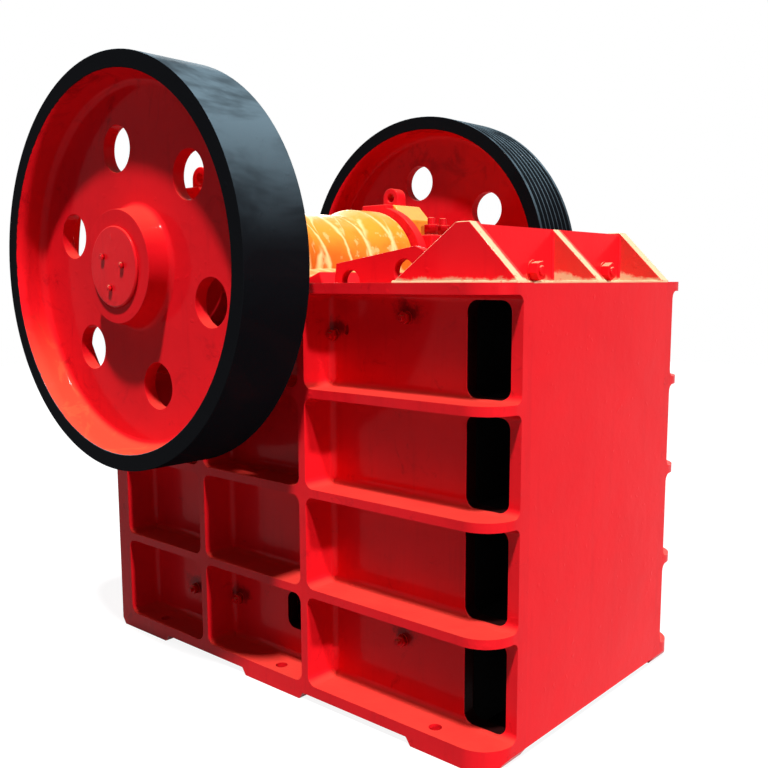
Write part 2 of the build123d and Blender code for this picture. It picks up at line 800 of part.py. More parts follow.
def main():
    os.makedirs("parts", exist_ok=True)
    save_pair("side_plate", side_plate())
    save_pair("top_flange", top_flange())
    save_pair("shelf_ribs", shelves())
    save_pair("upright_ribs", uprights())
    save_pair("base_rail", base_rail())
    save("front_plate", front_plate())
    save("front_top_plate", front_top_plate())
    save("inner_front_wall", inner_front_wall())
    save("front_box_shelves", front_box_shelves())
    save("middle_gusset", middle_gusset())
    save_pair("gable", gable())
    save("fixed_jaw_plate", fixed_jaw_plate())
    save("moving_jaw_plate", moving_jaw_plate())
    save_pair("cheek_plate", cheek_plate())
    save("eccentric_shaft", eccentric_shaft())
    save("flywheel", flywheel())
    save("belt_pulley", belt_pulley())
    save_pair("shaft_end_plate", shaft_end_plate())
    save_pair("bearing_seat", bearing_seat())
    save_pair("bearing_cap", bearing_cap())
    save_pair("seal_ring", seal_ring())
    save("pitman", pitman())
    save("jaw_wedge", jaw_wedge())
    save("rod_lugs", rod_lugs())
    save("rod_pin", rod_pin())
    save("pitman_toggle_seat", pitman_toggle_seat())
    save("toggle_plate", toggle_plate())
    save("rear_toggle_seat", rear_toggle_seat())
    save("adjusting_block", adjusting_block())
    save("block_ledges", block_ledges())
    save("shim_pack", shims())
    save("rear_beam", rear_beam())
    save("rear_wall", rear_wall())
    save("tension_rod", tension_rod())
    save("spring_washers", spring_washers())
    save("rod_spring", rod_spring())


main()
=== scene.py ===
"""Paint, fasteners, weld seams, spring and studio for a single toggle jaw crusher."""
import json
from math import cos, pi, radians, sin

import bpy
from bpy.props import FloatProperty, FloatVectorProperty, IntProperty, PointerProperty
from mathutils import Matrix, Vector


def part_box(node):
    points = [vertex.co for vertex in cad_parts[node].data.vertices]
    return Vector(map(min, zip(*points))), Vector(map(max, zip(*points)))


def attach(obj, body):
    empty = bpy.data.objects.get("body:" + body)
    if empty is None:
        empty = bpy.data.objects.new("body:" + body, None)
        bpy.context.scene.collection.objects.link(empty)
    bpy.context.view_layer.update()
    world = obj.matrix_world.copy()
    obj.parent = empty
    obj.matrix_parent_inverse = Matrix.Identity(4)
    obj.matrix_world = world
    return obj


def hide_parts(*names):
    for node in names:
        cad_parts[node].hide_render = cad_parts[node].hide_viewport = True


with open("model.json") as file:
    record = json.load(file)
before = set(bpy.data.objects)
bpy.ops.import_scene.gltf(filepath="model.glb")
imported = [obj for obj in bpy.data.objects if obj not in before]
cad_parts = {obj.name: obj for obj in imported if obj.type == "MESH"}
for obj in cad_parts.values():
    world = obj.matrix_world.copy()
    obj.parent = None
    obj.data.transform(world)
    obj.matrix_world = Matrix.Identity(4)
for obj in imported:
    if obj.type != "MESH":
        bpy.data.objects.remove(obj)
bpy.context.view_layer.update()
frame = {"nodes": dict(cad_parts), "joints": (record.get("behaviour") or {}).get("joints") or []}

bl_info = {
    "name": "Jaw crusher dress",
    "version": (1, 0, 0),
    "blender": (4, 5, 0),
    "location": "View3D > Sidebar > Crusher",
    "description": "Paints the castings of a jaw crusher and adds its nuts, spring and weld seams",
    "category": "Object",
}

# Places that the frame gives, in metres

PLATE_LOW, PLATE_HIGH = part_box("side_plate_near")
FRONT_LOW, FRONT_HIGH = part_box("front_plate")
GABLE_LOW, GABLE_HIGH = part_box("gable_near")
END_LOW, END_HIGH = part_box("shaft_end_plate_near")
SPRING_LOW, SPRING_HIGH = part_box("rod_spring")
GUSSET_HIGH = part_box("middle_gusset")[1]
WALL_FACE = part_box("inner_front_wall")[1].x
WASHER_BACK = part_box("spring_washers")[0].x
FRAME_TOP = FRONT_HIGH.z
RAIL_TOP = PLATE_LOW.z
SIDE_OUTER = -PLATE_LOW.y
SIDE_INNER = -PLATE_HIGH.y
SHAFT = (END_LOW + END_HIGH) / 2
BARREL = Vector([joint["pos_m"] for joint in frame["joints"] if joint["name"] == "jaw_swing"][0])

# Places within a node, which its box doesn't give; a rise counts from the shaft

LUG_RISE = 0.160
CAP_RISE = 0.312
RIM_INNER = 0.7035
WINDOW_BACK = FRONT_LOW.x - 0.180
HAND_HOLE_BACK = -0.07
HAND_HOLE_FRONT = 0.12
HAND_HOLE_TOP = 0.36

# Where fasteners stand; a spot is x and z, runs and END_BOLT_SPOTS count from the shaft

LINER_SPOTS = ((0.222, 1.370), (0.565, 1.440), (0.547, 0.291), (-0.350, 0.236), (-0.653, 0.212))
END_BOLT_SPOTS = ((-0.062, 0.038), (0.063, 0.005), (-0.019, -0.078))
CAP_STUD_RUNS = (-0.275, 0.275)
CAP_STUD_REACHES = (0.530, 0.620)
WALL_NUT_REACHES = (-0.359, -0.159, 0.159, 0.359)
WALL_NUT_RISE = 0.040

SIDES = (("near", -1), ("far", 1))

# How a piece's loose triangles become one skin: what counts as one point, and as one plane

SAME_POINT = 0.00002
SAME_PLANE = radians(0.6)


def colour(name, description, default):
    return FloatVectorProperty(name=name, description=description, default=default,
                               subtype="COLOR", size=3, min=0.0, max=1.0)


def length(name, description, default):
    return FloatProperty(name=name, description=description, default=default,
                         min=0.0, precision=4, unit="LENGTH")


def share(name, description, default):
    return FloatProperty(name=name, description=description, default=default, min=0.0, max=1.0,
                         subtype="FACTOR")


class PaintSettings(bpy.types.PropertyGroup):
    """Colours of the paints and bare metals, and how far edges are rounded."""

    red: colour("Red enamel", "Frame castings, wheel webs and hubs", (0.82, 0.009, 0.016))
    # Deep red also serves as painted shade, on the nuts and partly on the outer web of the wheels
    red_deep: colour("Deep red", "Thin and smudged patches of the red enamel", (0.40, 0.003, 0.008))
    # Pale red on upward faces is partly dust and partly painted highlight
    red_highlight_dust: colour("Pale red", "Dusty upward faces of the red enamel", (0.56, 0.052, 0.034))
    # Painted highlight on the upward inner faces of the wheel rims
    rim_painted_highlight: colour("Rim dust", "Orange dust on the inner side of the wheel rims",
                     (0.74, 0.085, 0.038))
    # Cream is partly dust and partly painted highlight on sloping and upward faces
    cream_highlight_dust: colour("Cream dust", "Pale dust on sloping ribs and in the corners of the top",
                  (0.63, 0.48, 0.28))
    orange: colour("Orange enamel", "Moving jaw casting and far bearing cap", (0.72, 0.28, 0.026))
    # Deep orange towards the bottom of the barrel is painted shade
    orange_deep: colour("Deep orange", "Lower part of the jaw's barrel", (0.66, 0.13, 0.012))
    # Pale orange: painted highlight and painted reflection streaks, with some paint runs
    orange_runs_and_highlight: colour("Pale orange", "Runs and shiny patches in the orange enamel",
                        (0.76, 0.60, 0.27))
    black: colour("Black enamel", "Rims of both wheels", (0.005, 0.0055, 0.007))
    # Blue-grey painted sheen: the sky's reflection on the upper side of the black rims
    black_sky_sheen: colour("Blue-grey bloom", "Dust bloom on the upper side of the black rims",
                       (0.095, 0.140, 0.170))
    # Near-black painted shade for the hollow wall's inside and the window reveals; also the dark
    # patches round the liner nuts
    cavity_shade: colour("Cavity black", "Unpainted inside of the hollow front wall",
                   (0.0025, 0.0026, 0.0028))
    rust: colour("Rust", "Patches on bare steel", (0.16, 0.055, 0.02))
    steel: colour("Bare steel", "Shaft, rod and spring", (0.30, 0.29, 0.28))
    liner: colour("Liner steel", "Cast jaw plates and toggle parts", (0.12, 0.11, 0.10))
    gloss: share("Gloss", "Weight of the clear top coat on the enamel", 0.07)
    edge: length("Edge round", "Radius on the outer edges of the castings", 0.006)


class FastenerSettings(bpy.types.PropertyGroup):
    """Sizes of the nuts and bolts."""

    cap_nut: length("Cap nut", "Width across flats of the bearing cap nuts", 0.058)
    cap_nut_height: length("Cap nut height", "Height of a bearing cap nut", 0.046)
    cap_stud: length("Cap stud", "Length of stud that stands above its nut", 0.030)
    wall_nut: length("Wall nut", "Width across flats of the nuts that hold the fixed jaw", 0.062)
    wall_nut_height: length("Wall nut height", "Height of a wall nut", 0.032)
    end_bolt: length("End plate bolt", "Width across flats of the shaft end bolts", 0.020)
    end_bolt_height: length("End bolt height", "Height of a shaft end bolt's head", 0.0125)
    liner_nut: length("Liner nut", "Width across flats of the cheek liner nuts", 0.038)
    liner_nut_height: length("Liner nut height", "Height of a cheek liner nut", 0.022)
    rod_nut: length("Rod nut", "Width across flats of the tension rod's nuts", 0.066)


class SeamSettings(bpy.types.PropertyGroup):
    """Sizes of the weld seams."""

    bead: length("Bead", "Radius of a weld bead", 0.0075)
    ripple: length("Ripple", "Pitch of the ripples along a bead", 0.009)


class SpringSettings(bpy.types.PropertyGroup):
    """Sizes of the tension rod's coil spring."""

    turns: IntProperty(name="Turns", description="Turns of the coil spring", default=6, min=3, max=20)
    wire: length("Wire", "Diameter of the spring wire", 0.018)


class StudioSettings(bpy.types.PropertyGroup):
    """Camera and light."""

    azimuth: FloatProperty(name="Azimuth", description="Camera bearing round the crusher",
                           default=radians(41.39), subtype="ANGLE")
    dip: FloatProperty(name="Dip", description="Camera tilt below the horizon",
                       default=radians(7.44), subtype="ANGLE")
    roll: FloatProperty(name="Roll", description="Camera roll", default=radians(-0.18), subtype="ANGLE")
    lens: FloatProperty(name="Lens", description="Focal length on a 36 mm sensor", default=42.48)
    place: FloatVectorProperty(name="Place", description="Camera position",
                               default=(2.5458, -2.9125, 1.5619), subtype="TRANSLATION")
    shift: FloatVectorProperty(name="Shift", description="Lens shift that the framing needs",
                               default=(0.0019, 0.0209), size=2)
    key: FloatProperty(name="Key light", description="Strength of the overhead sun", default=5.1)
    front: FloatProperty(name="Front light", description="Strength of the low front sun", default=1.8)
    back: FloatProperty(name="Back light", description="Strength of the soft sun behind", default=2.8)
    fill: FloatProperty(name="Fill", description="Strength of the sky on the object", default=0.09)
    glow: FloatProperty(name="Floor glow", description="How far the floor is lifted to white",
                        default=0.90)
    floor_pale: colour("Pale floor", "Colour of the floor", (0.15, 0.15, 0.15))
    floor_grain: colour("Floor grain", "Grain in the floor's colour", (0.13, 0.13, 0.13))
    # Painted shade: the colour of the floor under the machine
    floor_shade: colour("Shaded floor", "Colour of the floor under the machine", (0.02, 0.02, 0.02))


# Node trees as expressions

class Wire:
    """A node's output that can stand in a Python sum; each operator adds one Math node."""

    def __init__(self, graph, socket):
        self.graph = graph
        self.socket = socket

    def __add__(self, other):
        return self.graph.math("ADD", self, other)

    __radd__ = __add__

    def __sub__(self, other):
        return self.graph.math("SUBTRACT", self, other)

    def __rsub__(self, other):
        return self.graph.math("SUBTRACT", other, self)

    def __mul__(self, other):
        return self.graph.math("MULTIPLY", self, other)

    __rmul__ = __mul__

    def __truediv__(self, other):
        return self.graph.math("DIVIDE", self, other)

    def __pow__(self, other):
        return self.graph.math("POWER", self, other)

    def __abs__(self):
        return self.graph.math("ABSOLUTE", self)

    def __gt__(self, other):
        return self.graph.math("GREATER_THAN", self, other)

    def __lt__(self, other):
        return self.graph.math("LESS_THAN", self, other)


class Graph:
    """A node tree that is written as expressions."""

    def __init__(self, tree):
        self.tree = tree

    def node(self, kind, settings=None, *values, out=0, **named):
        """Adds a node, with its settings first, then its sockets by number or by name."""
        made = self.tree.nodes.new(kind)
        for key, value in (settings or {}).items():
            setattr(made, key, value)
        for number, value in enumerate(values):
            self.feed(made.inputs[number], value)
        for key, value in named.items():
            self.feed(made.inputs[key.replace("_", " ")], value)
        return Wire(self, made.outputs[out])

    def feed(self, socket, value):
        if isinstance(value, Wire):
            self.tree.links.new(value.socket, socket)
        elif value is not None:
            socket.default_value = value

    def math(self, operation, *values):
        return self.node("ShaderNodeMath", {"operation": operation}, *values)

    def clamp(self, value):
        return self.node("ShaderNodeMath", {"operation": "ADD", "use_clamp": True}, value, 0.0)

    def larger(self, first, second):
        return self.math("MAXIMUM", first, second)

    def split(self, vector):
        made = self.tree.nodes.new("ShaderNodeSeparateXYZ")
        self.feed(made.inputs[0], vector)
        return [Wire(self, output) for output in made.outputs]

    def join(self, x, y, z):
        return self.node("ShaderNodeCombineXYZ", {}, x, y, z)

    def step(self, value, low, high):
        """0 below low, 1 above high, smooth between."""
        return self.node("ShaderNodeMapRange", {"interpolation_type": "SMOOTHSTEP"}, value, low, high,
                         0.0, 1.0)


class ShapeTree(Graph):
    """A Geometry Nodes tree with named inputs for its sizes."""

    def __init__(self, name, sizes=None):
        super().__init__(bpy.data.node_groups.new(name, "GeometryNodeTree"))
        ends = self.tree.interface
        ends.new_socket("Geometry", in_out="INPUT", socket_type="NodeSocketGeometry")
        for label, value in (sizes or {}).items():
            whole = isinstance(value, int)
            kind = "NodeSocketInt" if whole else "NodeSocketFloat"
            ends.new_socket(label, in_out="INPUT", socket_type=kind).default_value = value
        ends.new_socket("Geometry", in_out="OUTPUT", socket_type="NodeSocketGeometry")
        source = self.tree.nodes.new("NodeGroupInput")
        self.geometry = Wire(self, source.outputs[0])
        self.sizes = [Wire(self, output) for output in source.outputs[1:-1]]

    def gather(self, shapes):
        made = self.tree.nodes.new("GeometryNodeJoinGeometry")
        for shape in shapes:
            self.tree.links.new(shape.socket, made.inputs[0])
        return Wire(self, made.outputs[0])

    def close(self, geometry):
        end = self.tree.nodes.new("NodeGroupOutput")
        self.tree.links.new(geometry.socket, end.inputs[0])
        return self.tree


class Finish(Graph):
    """A material under construction, with a Principled shader at its end."""

    def __init__(self, name):
        self.material = bpy.data.materials.new(name)
        self.material.use_nodes = True
        super().__init__(self.material.node_tree)
        self.tree.nodes.clear()
        self.shader = self.tree.nodes.new("ShaderNodeBsdfPrincipled")
        self.end = self.tree.nodes.new("ShaderNodeOutputMaterial")
        self.tree.links.new(self.shader.outputs[0], self.end.inputs[0])
        self.place = self.node("ShaderNodeTexCoord", out="Object")
        self.x, self.y, self.z = self.split(self.place)

    def scaled(self, x, y, z):
        return self.node("ShaderNodeMapping", {}, self.place, Scale=(x, y, z))

    def noise(self, scale, detail=2.0, roughness=0.5, vector=None, distortion=0.0):
        return self.node("ShaderNodeTexNoise", {}, Vector=vector or self.place, Scale=scale,
                         Detail=detail, Roughness=roughness, Distortion=distortion)

    def blend(self, factor, first, second):
        """First colour at factor 0, second at 1."""
        made = self.tree.nodes.new("ShaderNodeMix")
        made.data_type = "RGBA"
        for number, value in ((0, factor), (6, first), (7, second)):
            if not isinstance(value, (Wire, float, int)):
                value = (*value, 1.0)
            self.feed(made.inputs[number], value)
        return Wire(self, made.outputs[2])

    def facing_up(self, low=0.25, high=0.9):
        """1 on level upward faces, 0 on upright ones."""
        normal = self.node("ShaderNodeNewGeometry", out="Normal")
        return self.step(self.split(normal)[2], low, high)

    def surface(self, base, roughness, height=None, distance=0.001, **constants):
        """Joins colour, roughness and bump to the shader; constants are set on its sockets."""
        self.feed(self.shader.inputs["Base Color"], base)
        self.feed(self.shader.inputs["Roughness"], roughness)
        for key, value in constants.items():
            self.shader.inputs[key.replace("_", " ")].default_value = value
        if height is not None:
            bump = self.node("ShaderNodeBump", {}, Strength=1.0, Distance=distance, Height=height)
            self.feed(self.shader.inputs["Normal"], bump)
        return self.material

    def cast_skin(self):
        """Height of a painted casting: slow waves, orange peel and a few lumps."""
        waves = self.noise(7.0, detail=3.0)
        peel = self.noise(120.0, detail=2.0)
        lumps = self.step(self.noise(34.0, detail=1.0), 0.66, 0.8)
        return waves * 2.6 + peel * 0.22 + lumps * 0.5

    def red_coat(self, settings, pale=0.8, wear=1.0):
        """Colour and roughness of the red enamel, as most castings wear it."""
        cloud = self.step(self.noise(1.9, detail=4.0, roughness=0.6), 0.35, 0.75)
        streak = self.noise(1.0, detail=4.0, roughness=0.6, vector=self.scaled(24.0, 24.0, 2.4))
        thin = self.clamp(cloud * 0.24 + self.step(streak, 0.5, 0.8) * 0.16) * wear
        base = self.blend(thin, settings.red, settings.red_deep)
        # Painted highlight and dust: faces that look up are paled towards the pale red
        dust_and_highlight = self.facing_up() * (0.45 + 0.7 * self.noise(5.0, detail=5.0, roughness=0.65)) * pale
        base = self.blend(dust_and_highlight, base, settings.red_highlight_dust)
        grime = self.step(self.noise(7.0, detail=6.0, roughness=0.7, distortion=0.6), 0.60, 0.80)
        base = self.blend(grime * 0.35 * wear, base, settings.red_deep)
        rough = 0.24 + 0.18 * self.noise(4.0, detail=3.0) + 0.12 * grime + 0.15 * dust_and_highlight
        return base, rough

    def enamel(self, settings, base, rough, height, bare=0.0, gleam=0.04):
        """Closes an enamel: bare is how far its clear coat is missing, gleam its specular level."""
        self.feed(self.shader.inputs["Coat Weight"], settings.gloss * (1.0 - bare))
        return self.surface(base, rough, height, 0.0013, Coat_Roughness=0.10, Specular_IOR_Level=gleam)


# Finishes

def frame_red(settings):
    """Red enamel; near-black painted shade without clear coat in the reveals of the wall's windows and
    hand hole, dark patches round the liner nuts.
    """
    paint = Finish("frame_red_enamel")
    base, rough = paint.red_coat(settings)
    reach = abs(paint.y)
    skin = 0.0004
    margin = 0.03
    window = (paint.x > WINDOW_BACK) * (paint.x < FRONT_HIGH.x - margin)
    hand_hole = (paint.x > HAND_HOLE_BACK) * (paint.x < HAND_HOLE_FRONT) * (paint.z < HAND_HOLE_TOP)
    cut = paint.larger(window, hand_hole * (reach > SIDE_INNER + skin))
    # Painted shade: the reveals are turned near-black and lose their clear coat
    painted_shade_reveal = cut * (reach < SIDE_OUTER - 4 * skin) * (paint.z < FRAME_TOP - margin)
    smudge = paint.step(paint.noise(9.0, detail=5.0, roughness=0.7, distortion=1.0), 0.60, 0.74)
    base = paint.blend(smudge * 0.45 * (1 - paint.facing_up()), base, settings.red_deep)
    ragged = 0.10 * paint.noise(17.0, detail=5.0, roughness=0.7)
    squeeze, lift = 0.6, 0.022
    core, fringe = 0.060, 0.100
    # Dark patches centred a little above each liner nut
    nut_dark_patch = 0.0
    for spot_x, spot_z in LINER_SPOTS:
        across = (paint.x - spot_x) * squeeze
        up = paint.z - spot_z - lift
        spread = (across ** 2 + up ** 2) ** 0.5 + ragged
        nut_dark_patch = paint.larger(nut_dark_patch, 1 - paint.step(spread, core, fringe))
    nut_dark_patch = nut_dark_patch * (reach < SIDE_OUTER + 0.014) * (reach > SIDE_OUTER - 0.001)
    base = paint.blend(nut_dark_patch * 0.7, base, settings.cavity_shade)
    base = paint.blend(painted_shade_reveal * 0.98, base, settings.cavity_shade)
    return paint.enamel(settings, base, rough, paint.cast_skin(), bare=painted_shade_reveal)


def topside_red(name, settings, haze=0.0, strip=None):
    """Red enamel with cream along the feet of what stands on the frame, partly dust and partly painted
    highlight.

    A plate whose strip is given, as its lowest y and its thickness, also has cream along the near
    part of its sloping edge, painted highlight and dust. Haze is how much of its upright faces is paled
    with the pale red of painted highlight and dust.
    """
    paint = Finish(name)
    base, rough = paint.red_coat(settings)
    ragged = paint.noise(20.0, detail=5.0, roughness=0.7)
    base = paint.blend((0.55 + 0.6 * ragged) * haze, base, settings.red_highlight_dust)
    above = paint.z - FRAME_TOP
    corner = 1 - paint.step(paint.x - WALL_FACE, 0.0, 0.14)
    reach = above + 0.05 * ragged - 0.035 * corner * haze
    foot = (above > -0.002) * (1 - paint.step(reach, 0.030, 0.044))
    pale = foot * 0.95
    if strip:
        low, thickness = strip
        across = (paint.y - low) / thickness + 0.2 * ragged
        slope = paint.facing_up(0.35, 0.6) * (1 - paint.step(across, 0.66, 0.84))
        pale = paint.larger(pale, slope * 0.95)
    speck = paint.step(paint.noise(60.0, detail=2.0), 0.66, 0.72)
    pale = paint.clamp(pale - speck * 0.5)
    # Painted highlight and dust: cream at the feet and on the near part of the slope
    base = paint.blend(pale, base, settings.cream_highlight_dust)
    return paint.enamel(settings, base, rough + 0.2 * pale, paint.cast_skin() + ragged * pale)


def nut_red(settings):
    """Red enamel on nuts and bolts, darkened with mottled deep red as painted shade, and cream on top
    as painted highlight and dust.
    """
    paint = Finish("nut_red_enamel")
    base, rough = paint.red_coat(settings, pale=0.3)
    # Painted shade: the whole nut is darkened towards the deep red
    base = paint.blend(0.5 * paint.noise(40.0, detail=3.0), base, settings.red_deep)
    # Painted highlight and dust: the tops are paled towards cream
    dust_and_highlight = paint.facing_up(0.5, 0.9) * (0.4 + 0.4 * paint.noise(60.0))
    base = paint.blend(dust_and_highlight, base, settings.cream_highlight_dust)
    return paint.enamel(settings, base, rough, paint.noise(90.0, detail=3.0))


def front_wall_red(settings):
    """Red enamel outside; near-black painted shade inside the hollow front wall; cream at the foot of
    the top, partly dust and partly painted highlight.
    """
    paint = Finish("front_wall_enamel")
    base, rough = paint.red_coat(settings, pale=0.9, wear=0.45)
    # Painted shade: the inside of the hollow wall is near-black and loses its clear coat
    inside = (paint.x > WALL_FACE - 0.008) * (paint.x < FRONT_LOW.x + 0.0006)
    inside = inside * (paint.z < FRAME_TOP - 0.034)
    ragged = paint.noise(20.0, detail=5.0, roughness=0.7)
    above = paint.z - FRAME_TOP
    foot = (above > -0.002) * (1 - paint.step(above + 0.06 * ragged, 0.024, 0.060))
    # Painted highlight and dust: cream along the foot of the top
    base = paint.blend(foot * 0.75, base, settings.cream_highlight_dust)
    base = paint.blend(inside, base, settings.cavity_shade)
    return paint.enamel(settings, base, rough + inside * 0.4, paint.cast_skin(), bare=inside)


def cavity_painted_shade(settings):
    """Bare casting inside the hollow front wall, near-black as painted shade."""
    paint = Finish("front_cavity_skin")
    scale = paint.noise(24.0, detail=6.0, roughness=0.7)
    rust = paint.blend(paint.step(scale, 0.55, 0.75) * 0.10, settings.cavity_shade, settings.rust)
    return paint.surface(rust, 0.75 + 0.2 * scale, scale, 0.002, Specular_IOR_Level=0.04)


def jaw_orange(settings):
    """Yellow-orange enamel with pale streaks that wind down round the barrel, partly paint runs and
    partly painted reflection; paler on top as painted highlight, deeper orange towards the bottom as
    painted shade.
    """
    paint = Finish("jaw_orange_enamel")
    cloud = paint.noise(7.0, detail=5.0, roughness=0.65)
    turn = pi / 2 - paint.math("ARCTAN2", paint.x - BARREL.x, paint.z - BARREL.z)
    # Painted shade: deeper orange on the front and bottom of the barrel, away from its top
    low = 1 - paint.step(turn + 0.35 * cloud, 0.25, 0.95)
    base = paint.blend(paint.clamp(low * 0.8 + paint.step(cloud, 0.42, 0.66) * 0.35),
                       settings.orange, settings.orange_deep)
    blotch = paint.step(paint.noise(16.0, detail=4.0, roughness=0.6), 0.58, 0.66)
    base = paint.blend(blotch * 0.4, base, settings.orange_runs_and_highlight)
    warp = paint.noise(3.2, detail=3.0, roughness=0.6) * 0.55
    streaks_per_metre = 6.9
    along = paint.y * streaks_per_metre
    branches = along - turn * 0.55 + warp * 1.4 + 0.31
    spread = 0.03 + 0.24 * paint.step(paint.noise(6.0, detail=3.0, roughness=0.6), 0.30, 0.75)
    # Painted reflection, partly paint runs: pale streaks that wind round the barrel
    run = streak_line(paint, along + turn * 0.30 + warp, spread)
    branch = streak_line(paint, branches, spread * 0.8)
    fade = paint.step(paint.noise(5.0, detail=2.0), 0.40, 0.55)
    pale = paint.clamp(paint.larger(run, branch * fade))
    # Painted highlight: the top of the barrel is paled
    top = paint.facing_up(0.65, 0.98) * (0.10 + 0.45 * paint.step(cloud, 0.4, 0.6))
    base = paint.blend(paint.larger(pale * 0.9, top), base, settings.orange_runs_and_highlight)
    rough = 0.22 + 0.2 * cloud - 0.05 * pale
    return paint.enamel(settings, base, rough, paint.cast_skin() + pale * 0.8)


def streak_line(paint, wave, width):
    """1 midway between whole numbers of wave, fading out over width."""
    off = abs(paint.math("FRACT", wave) - 0.5)
    return 1 - paint.step(off, 0.0, width)


def cap_two_tone(settings):
    """Far bearing cap: orange body, red lugs and red lifting eye."""
    paint = Finish("cap_two_tone_enamel")
    red, rough = paint.red_coat(settings)
    cloud = paint.noise(9.0, detail=5.0, roughness=0.65)
    orange = paint.blend(paint.step(cloud, 0.4, 0.65) * 0.5, settings.orange, settings.orange_deep)
    # Painted highlight: upward faces of the cap's orange body are paled
    orange = paint.blend(paint.facing_up() * 0.35, orange, settings.orange_runs_and_highlight)
    ragged = 0.004 * paint.noise(30.0)
    body = (paint.z + ragged > SHAFT.z + LUG_RISE + 0.003) * (paint.z - ragged < SHAFT.z + CAP_RISE)
    return paint.enamel(settings, paint.blend(body, red, orange), rough, paint.cast_skin())


def wheel_enamel(settings):
    """Red web and hub, with a black satin rim whose paint edge wanders a little; painted shade darkens
    the outer web, painted highlight pales the rim's upward inner faces and painted sheen lies on the
    rim's upper side.
    """
    paint = Finish("wheel_enamel")
    reach = ((paint.x - SHAFT.x) ** 2 + (paint.z - SHAFT.z) ** 2) ** 0.5
    ragged = 0.0022 * paint.noise(34.0, detail=4.0, roughness=0.7)
    rim = paint.step(reach + ragged, RIM_INNER, RIM_INNER + 0.0008)
    red, rough = paint.red_coat(settings, pale=0.9)
    # Darker web towards the rim: partly overspray, partly painted shade of the rim
    spray_and_shade = paint.step(paint.noise(5.0, detail=5.0, roughness=0.7, distortion=1.2), 0.52, 0.72)
    outer = paint.step(reach, 0.36, 0.60)
    red = paint.blend(spray_and_shade * outer * 0.65, red, settings.red_deep)
    # Painted highlight: the upward inner faces of the rim are paled to orange
    ledge_highlight = paint.step(reach, 0.660, 0.690) * paint.facing_up(0.20, 0.65)
    red = paint.blend(ledge_highlight * (0.55 + 0.45 * paint.step(spray_and_shade, 0.0, 0.4)), red, settings.rim_painted_highlight)
    smear = paint.noise(1.0, detail=4.0, roughness=0.6, vector=paint.scaled(4.0, 2.0, 4.0),
                        distortion=0.4)
    # Painted reflection: sheen of the sky on the upward part of the black rim
    painted_sheen = (0.35 + 0.65 * paint.step(smear, 0.38, 0.60)) * paint.facing_up(0.04, 0.72)
    black = paint.blend(painted_sheen, settings.black, settings.black_sky_sheen)
    base = paint.blend(rim, red, black)
    rough = rough * (1 - 0.5 * rim) + rim * 0.12 * smear
    height = paint.cast_skin() + rim * smear * 0.6
    return paint.enamel(settings, base, rough, height, bare=0.6 * rim, gleam=0.0)


def bare_steel(name, settings, tone, rust_share, roughness):
    """Machined or forged steel with a film of oil and some rust."""
    metal = Finish(name)
    lines = metal.noise(1.0, detail=3.0, roughness=0.6, vector=metal.scaled(20.0, 400.0, 20.0))
    blotch = metal.noise(8.0, detail=6.0, roughness=0.7)
    patch = metal.step(blotch, 0.62 - 0.3 * rust_share, 0.85 - 0.2 * rust_share)
    base = metal.blend(patch * rust_share, tone, settings.rust)
    rough = roughness + 0.15 * lines + 0.25 * patch * rust_share
    metal.feed(metal.shader.inputs["Metallic"], 1.0 - 0.7 * patch * rust_share)
    return metal.surface(base, rough, lines * 0.3 + metal.noise(60.0, detail=4.0), 0.0006)


# Shapes

def edge_tree(name, planes=(), lines=()):
    """Marks the sharp outer edges that a bevel rounds.

    Edges that lie in one of the planes, or along one of the lines where two planes meet, are where
    another piece carries on, so they stay as they are. A plane is an axis letter and a distance,
    and distances along y count for both sides.
    """
    tree = ShapeTree(name, {"Limit": radians(30.0)})
    limit, = tree.sizes
    bend = tree.node("GeometryNodeInputMeshEdgeAngle", out="Signed Angle")
    ends = tree.tree.nodes.new("GeometryNodeInputMeshEdgeVertices")
    first = tree.split(Wire(tree, ends.outputs["Position 1"]))
    second = tree.split(Wire(tree, ends.outputs["Position 2"]))
    weight = bend > limit

    def in_plane(axis, distance):
        number = "xyz".index(axis)
        near = 0.0008
        hits = []
        for end in (first[number], second[number]):
            place = abs(end) if axis == "y" else end
            hits.append(abs(place - distance) < near)
        return hits[0] * hits[1]

    for plane in planes:
        weight = weight * (1 - in_plane(*plane))
    for plane, other in lines:
        weight = weight * (1 - in_plane(*plane) * in_plane(*other))
    marked = tree.node("GeometryNodeStoreNamedAttribute", {"data_type": "FLOAT", "domain": "EDGE"},
                       Geometry=tree.geometry, Name="bevel_weight_edge", Value=weight)
    return tree.close(marked)


def smooth_tree():
    """Shades faces smooth except across edges sharper than the limit."""
    tree = ShapeTree("smooth_by_angle", {"Limit": radians(34.0)})
    angle = tree.node("GeometryNodeInputMeshEdgeAngle")
    soft = tree.node("FunctionNodeCompare", {"operation": "LESS_THAN"}, angle, tree.sizes[0])
    faces = tree.node("GeometryNodeSetShadeSmooth", {"domain": "FACE"}, tree.geometry)
    return tree.close(tree.node("GeometryNodeSetShadeSmooth", {"domain": "EDGE"}, faces,
                                Shade_Smooth=soft))


def soften(piece, radius, edges=None, segments=3):
    """Rounds a piece's outer edges by modifiers, without touching its own mesh."""
    weld = piece.modifiers.new("weld", "WELD")
    weld.merge_threshold = SAME_POINT
    flat = piece.modifiers.new("flat", "DECIMATE")
    flat.decimate_type = "DISSOLVE"
    flat.angle_limit = SAME_PLANE
    if radius:
        mark = piece.modifiers.new("mark", "NODES")
        mark.node_group = edges or need("open_edges")
        bevel = piece.modifiers.new("edge", "BEVEL")
        bevel.width = radius
        bevel.segments = segments
        bevel.limit_method = "WEIGHT"
        bevel.use_clamp_overlap = True
    smooth = piece.modifiers.new("smooth", "NODES")
    smooth.node_group = need("smooth")
    normals = piece.modifiers.new("normals", "WEIGHTED_NORMAL")
    normals.keep_sharp = True
    normals.weight = 90


